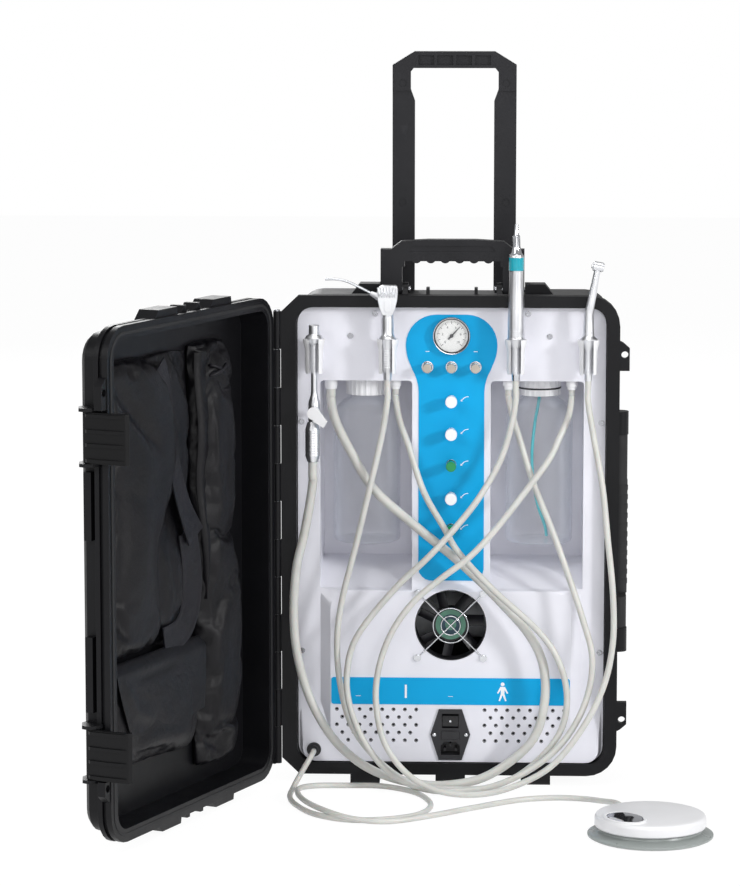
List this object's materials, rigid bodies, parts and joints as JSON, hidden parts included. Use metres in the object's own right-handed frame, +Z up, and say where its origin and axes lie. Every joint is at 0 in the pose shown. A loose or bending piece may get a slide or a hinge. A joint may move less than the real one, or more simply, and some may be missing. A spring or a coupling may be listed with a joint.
{
  "type": "portable dental treatment unit",
  "caption": "Upright wheeled hard case standing open: white treatment console with gauge, flow knobs, bottles, fan, hung instruments and hoses; bags in the lid, foot control on its hose.",
  "frame": {"origin": "on the floor, under the middle of the base's front rim, on the middle front foot's flat face", "axes": "+Z up, +X to the right of someone facing the console, -Y toward them"},
  "size_m": [0.7385, 0.6141, 0.9141],
  "materials": {
    "case": "fine moulded grain, charcoal black",
    "panel": "smooth white with a faint lavender cast",
    "label": "printed cyan-blue film",
    "chrome": "polished plating",
    "steel": "bright zinc-plated steel",
    "satin_metal": "satin",
    "nickel": "knurled, nickel plated",
    "aluminium": "machined",
    "dial": "white enamel with a black scale",
    "lens": "clear",
    "bottle": "clear moulded, softly clouded",
    "black": "satin black",
    "black_gloss": "glossy black",
    "white_plastic": "smooth white",
    "grey_plastic": "grey, slightly sheer at the edge",
    "siphon": "turquoise tube",
    "motor": "grey enamel",
    "tank": "light grey enamel",
    "handle": "satin charcoal",
    "rubber": "moulded",
    "latch": "satin black",
    "fabric": "thin coated nylon with a soft sheen",
    "knob_white": "smooth",
    "knob_green": "smooth",
    "blue": "smooth",
    "hose": "silicone, satin"
  },
  "bodies": {
    "base": {"base_shell": "case", "steel_pins": "steel", "console_panel": "panel", "panel_labels": "label", "gauge_case": "chrome", "gauge_dial": "dial", "gauge_lens": "lens", "valve_bushes": "chrome", "hose_fittings": "white_plastic", "bottle_caps": "white_plastic", "water_pickup_tube": "siphon", "fan_frame": "black", "finger_guard": "chrome", "power_inlet": "black", "instrument_holders": "white_plastic", "panel_screws": "steel", "compressor": "motor", "air_tank": "tank", "valve_manifold": "aluminium", "trolley_guides": "handle", "suction_hose": "hose", "syringe_hose": "hose", "low_speed_hose": "hose", "high_speed_hose": "hose", "pedal_base": "grey_plastic", "foot_hose": "hose"},
    "lid": {"lid_shell": "case", "lid_gasket": "rubber", "strap_bag": "fabric", "rolled_bag": "fabric", "pouch": "fabric"},
    "latch_upper": {"latch_upper": "latch"},
    "latch_lower": {"latch_lower": "latch"},
    "gauge_needle": {"gauge_needle": "black"},
    "regulator_knob_1": {"regulator_knob_1": "nickel"},
    "regulator_knob_2": {"regulator_knob_2": "nickel"},
    "regulator_knob_3": {"regulator_knob_3": "nickel"},
    "flow_knob_1": {"flow_knob_1": "knob_white"},
    "flow_knob_2": {"flow_knob_2": "knob_white"},
    "flow_knob_3": {"flow_knob_3": "knob_green"},
    "flow_knob_4": {"flow_knob_4": "knob_white"},
    "flow_knob_5": {"flow_knob_5": "knob_green"},
    "waste_bottle": {"waste_bottle": "bottle"},
    "water_bottle": {"water_bottle": "bottle"},
    "fan_rotor": {"fan_rotor": "black"},
    "rocker_switch": {"rocker_switch": "black_gloss"},
    "fuse_drawer": {"fuse_drawer": "black"},
    "trolley_handle": {"trolley_handle": "handle"},
    "carry_handle": {"carry_handle": "handle"},
    "side_handle": {"side_handle": "rubber"},
    "wheel_left": {"wheel_left": "rubber"},
    "wheel_right": {"wheel_right": "rubber"},
    "suction_handpiece": {"suction_handpiece": "satin_metal"},
    "suction_lever": {"suction_lever": "white_plastic"},
    "syringe": {"syringe": "satin_metal"},
    "syringe_air_button": {"syringe_air_button": "blue"},
    "syringe_water_button": {"syringe_water_button": "knob_green"},
    "low_speed_handpiece": {"low_speed_handpiece": "satin_metal"},
    "high_speed_handpiece": {"high_speed_handpiece": "satin_metal"},
    "pedal_cover": {"pedal_cover": "white_plastic"}
  },
  "joints": [
    {"name": "lid_hinge", "type": "hinge", "parent": "base", "child": "lid", "pos_m": [-0.217, 0, 0], "axis": [0, 0, 1], "range_deg": [-66, 30]},
    {"name": "latch_upper_pivot", "type": "hinge", "parent": "lid", "child": "latch_upper", "pos_m": [-0.4065, -0.38439, 0.494], "axis": [0, 0, 1], "range_deg": [-100, 10]},
    {"name": "latch_lower_pivot", "type": "hinge", "parent": "lid", "child": "latch_lower", "pos_m": [-0.4065, -0.38439, 0.124], "axis": [0, 0, 1], "range_deg": [-100, 10]},
    {"name": "gauge_needle_spindle", "type": "hinge", "parent": "base", "child": "gauge_needle", "pos_m": [0, 0.0085, 0.568], "axis": [0, 1, 0], "range_deg": [-178, 92], "stiffness_Nm_per_rad": 0.0005},
    {"name": "regulator_knob_1_stem", "type": "hinge", "parent": "base", "child": "regulator_knob_1", "pos_m": [-0.03, 0.012, 0.5286], "axis": [0, 1, 0], "range_deg": [-135, 135]},
    {"name": "regulator_knob_2_stem", "type": "hinge", "parent": "base", "child": "regulator_knob_2", "pos_m": [0, 0.012, 0.5286], "axis": [0, 1, 0], "range_deg": [-135, 135]},
    {"name": "regulator_knob_3_stem", "type": "hinge", "parent": "base", "child": "regulator_knob_3", "pos_m": [0.03, 0.012, 0.5286], "axis": [0, 1, 0], "range_deg": [-135, 135]},
    {"name": "flow_knob_1_stem", "type": "hinge", "parent": "base", "child": "flow_knob_1", "pos_m": [0, 0.012, 0.487], "axis": [0, 1, 0], "range_deg": [-150, 150]},
    {"name": "flow_knob_2_stem", "type": "hinge", "parent": "base", "child": "flow_knob_2", "pos_m": [0, 0.012, 0.446], "axis": [0, 1, 0], "range_deg": [-150, 150]},
    {"name": "flow_knob_3_stem", "type": "hinge", "parent": "base", "child": "flow_knob_3", "pos_m": [0, 0.012, 0.406], "axis": [0, 1, 0], "range_deg": [-150, 150]},
    {"name": "flow_knob_4_stem", "type": "hinge", "parent": "base", "child": "flow_knob_4", "pos_m": [0, 0.012, 0.365], "axis": [0, 1, 0], "range_deg": [-150, 150]},
    {"name": "flow_knob_5_stem", "type": "hinge", "parent": "base", "child": "flow_knob_5", "pos_m": [0, 0.012, 0.325], "axis": [0, 1, 0], "range_deg": [-150, 150]},
    {"name": "waste_bottle_thread", "type": "hinge", "parent": "base", "child": "waste_bottle", "pos_m": [-0.107, 0.062, 0.498], "axis": [0, 0, 1], "range_deg": [0, 270]},
    {"name": "water_bottle_thread", "type": "hinge", "parent": "base", "child": "water_bottle", "pos_m": [0.11, 0.062, 0.498], "axis": [0, 0, 1], "range_deg": [0, 270]},
    {"name": "fan_spindle", "type": "hinge", "parent": "base", "child": "fan_rotor", "pos_m": [0, 0.019, 0.203], "axis": [0, 1, 0], "continuous": true},
    {"name": "rocker_spindle", "type": "hinge", "parent": "base", "child": "rocker_switch", "pos_m": [0, 0.004, 0.0811], "axis": [1, 0, 0], "range_deg": [-12, 0]},
    {"name": "fuse_drawer_slide", "type": "slide", "parent": "base", "child": "fuse_drawer", "axis": [0, -1, 0], "range_m": [0, 0.02]},
    {"name": "trolley_handle_slide", "type": "slide", "parent": "base", "child": "trolley_handle", "axis": [0, 0, 1], "range_m": [-0.255, 0]},
    {"name": "carry_handle_pins", "type": "hinge", "parent": "base", "child": "carry_handle", "pos_m": [0, 0.06, 0.621], "axis": [1, 0, 0], "range_deg": [-88, 0]},
    {"name": "side_handle_pins", "type": "hinge", "parent": "base", "child": "side_handle", "pos_m": [0.21, 0.055, 0.316], "axis": [0, 0, -1], "range_deg": [0, 90]},
    {"name": "wheel_left_axle", "type": "hinge", "parent": "base", "child": "wheel_left", "pos_m": [-0.172, 0.172, 0.028], "axis": [1, 0, 0], "continuous": true},
    {"name": "wheel_right_axle", "type": "hinge", "parent": "base", "child": "wheel_right", "pos_m": [0.172, 0.172, 0.028], "axis": [1, 0, 0], "continuous": true},
    {"name": "suction_handpiece_lift", "type": "slide", "parent": "base", "child": "suction_handpiece", "axis": [0, 0, 1], "range_m": [0, 0.038]},
    {"name": "suction_lever_spindle", "type": "hinge", "parent": "suction_handpiece", "child": "suction_lever", "pos_m": [-0.17, -0.005, 0.474], "axis": [0, 1, 0], "range_deg": [-90, 0]},
    {"name": "syringe_lift", "type": "slide", "parent": "base", "child": "syringe", "axis": [0, 0, 1], "range_m": [0, 0.05]},
    {"name": "syringe_air_button_travel", "type": "slide", "parent": "syringe", "child": "syringe_air_button", "axis": [0, 1, 0], "range_m": [0, 0.002], "stiffness_N_per_m": 300},
    {"name": "syringe_water_button_travel", "type": "slide", "parent": "syringe", "child": "syringe_water_button", "axis": [0, 1, 0], "range_m": [0, 0.002], "stiffness_N_per_m": 300},
    {"name": "low_speed_handpiece_lift", "type": "slide", "parent": "base", "child": "low_speed_handpiece", "axis": [0, 0, 1], "range_m": [0, 0.05]},
    {"name": "high_speed_handpiece_lift", "type": "slide", "parent": "base", "child": "high_speed_handpiece", "axis": [0, 0, 1], "range_m": [0, 0.05]},
    {"name": "pedal_travel", "type": "slide", "parent": "base", "child": "pedal_cover", "axis": [0, 0, -1], "range_m": [0, 0.004], "stiffness_N_per_m": 1500, "springref_m": -0.003}
  ]
}
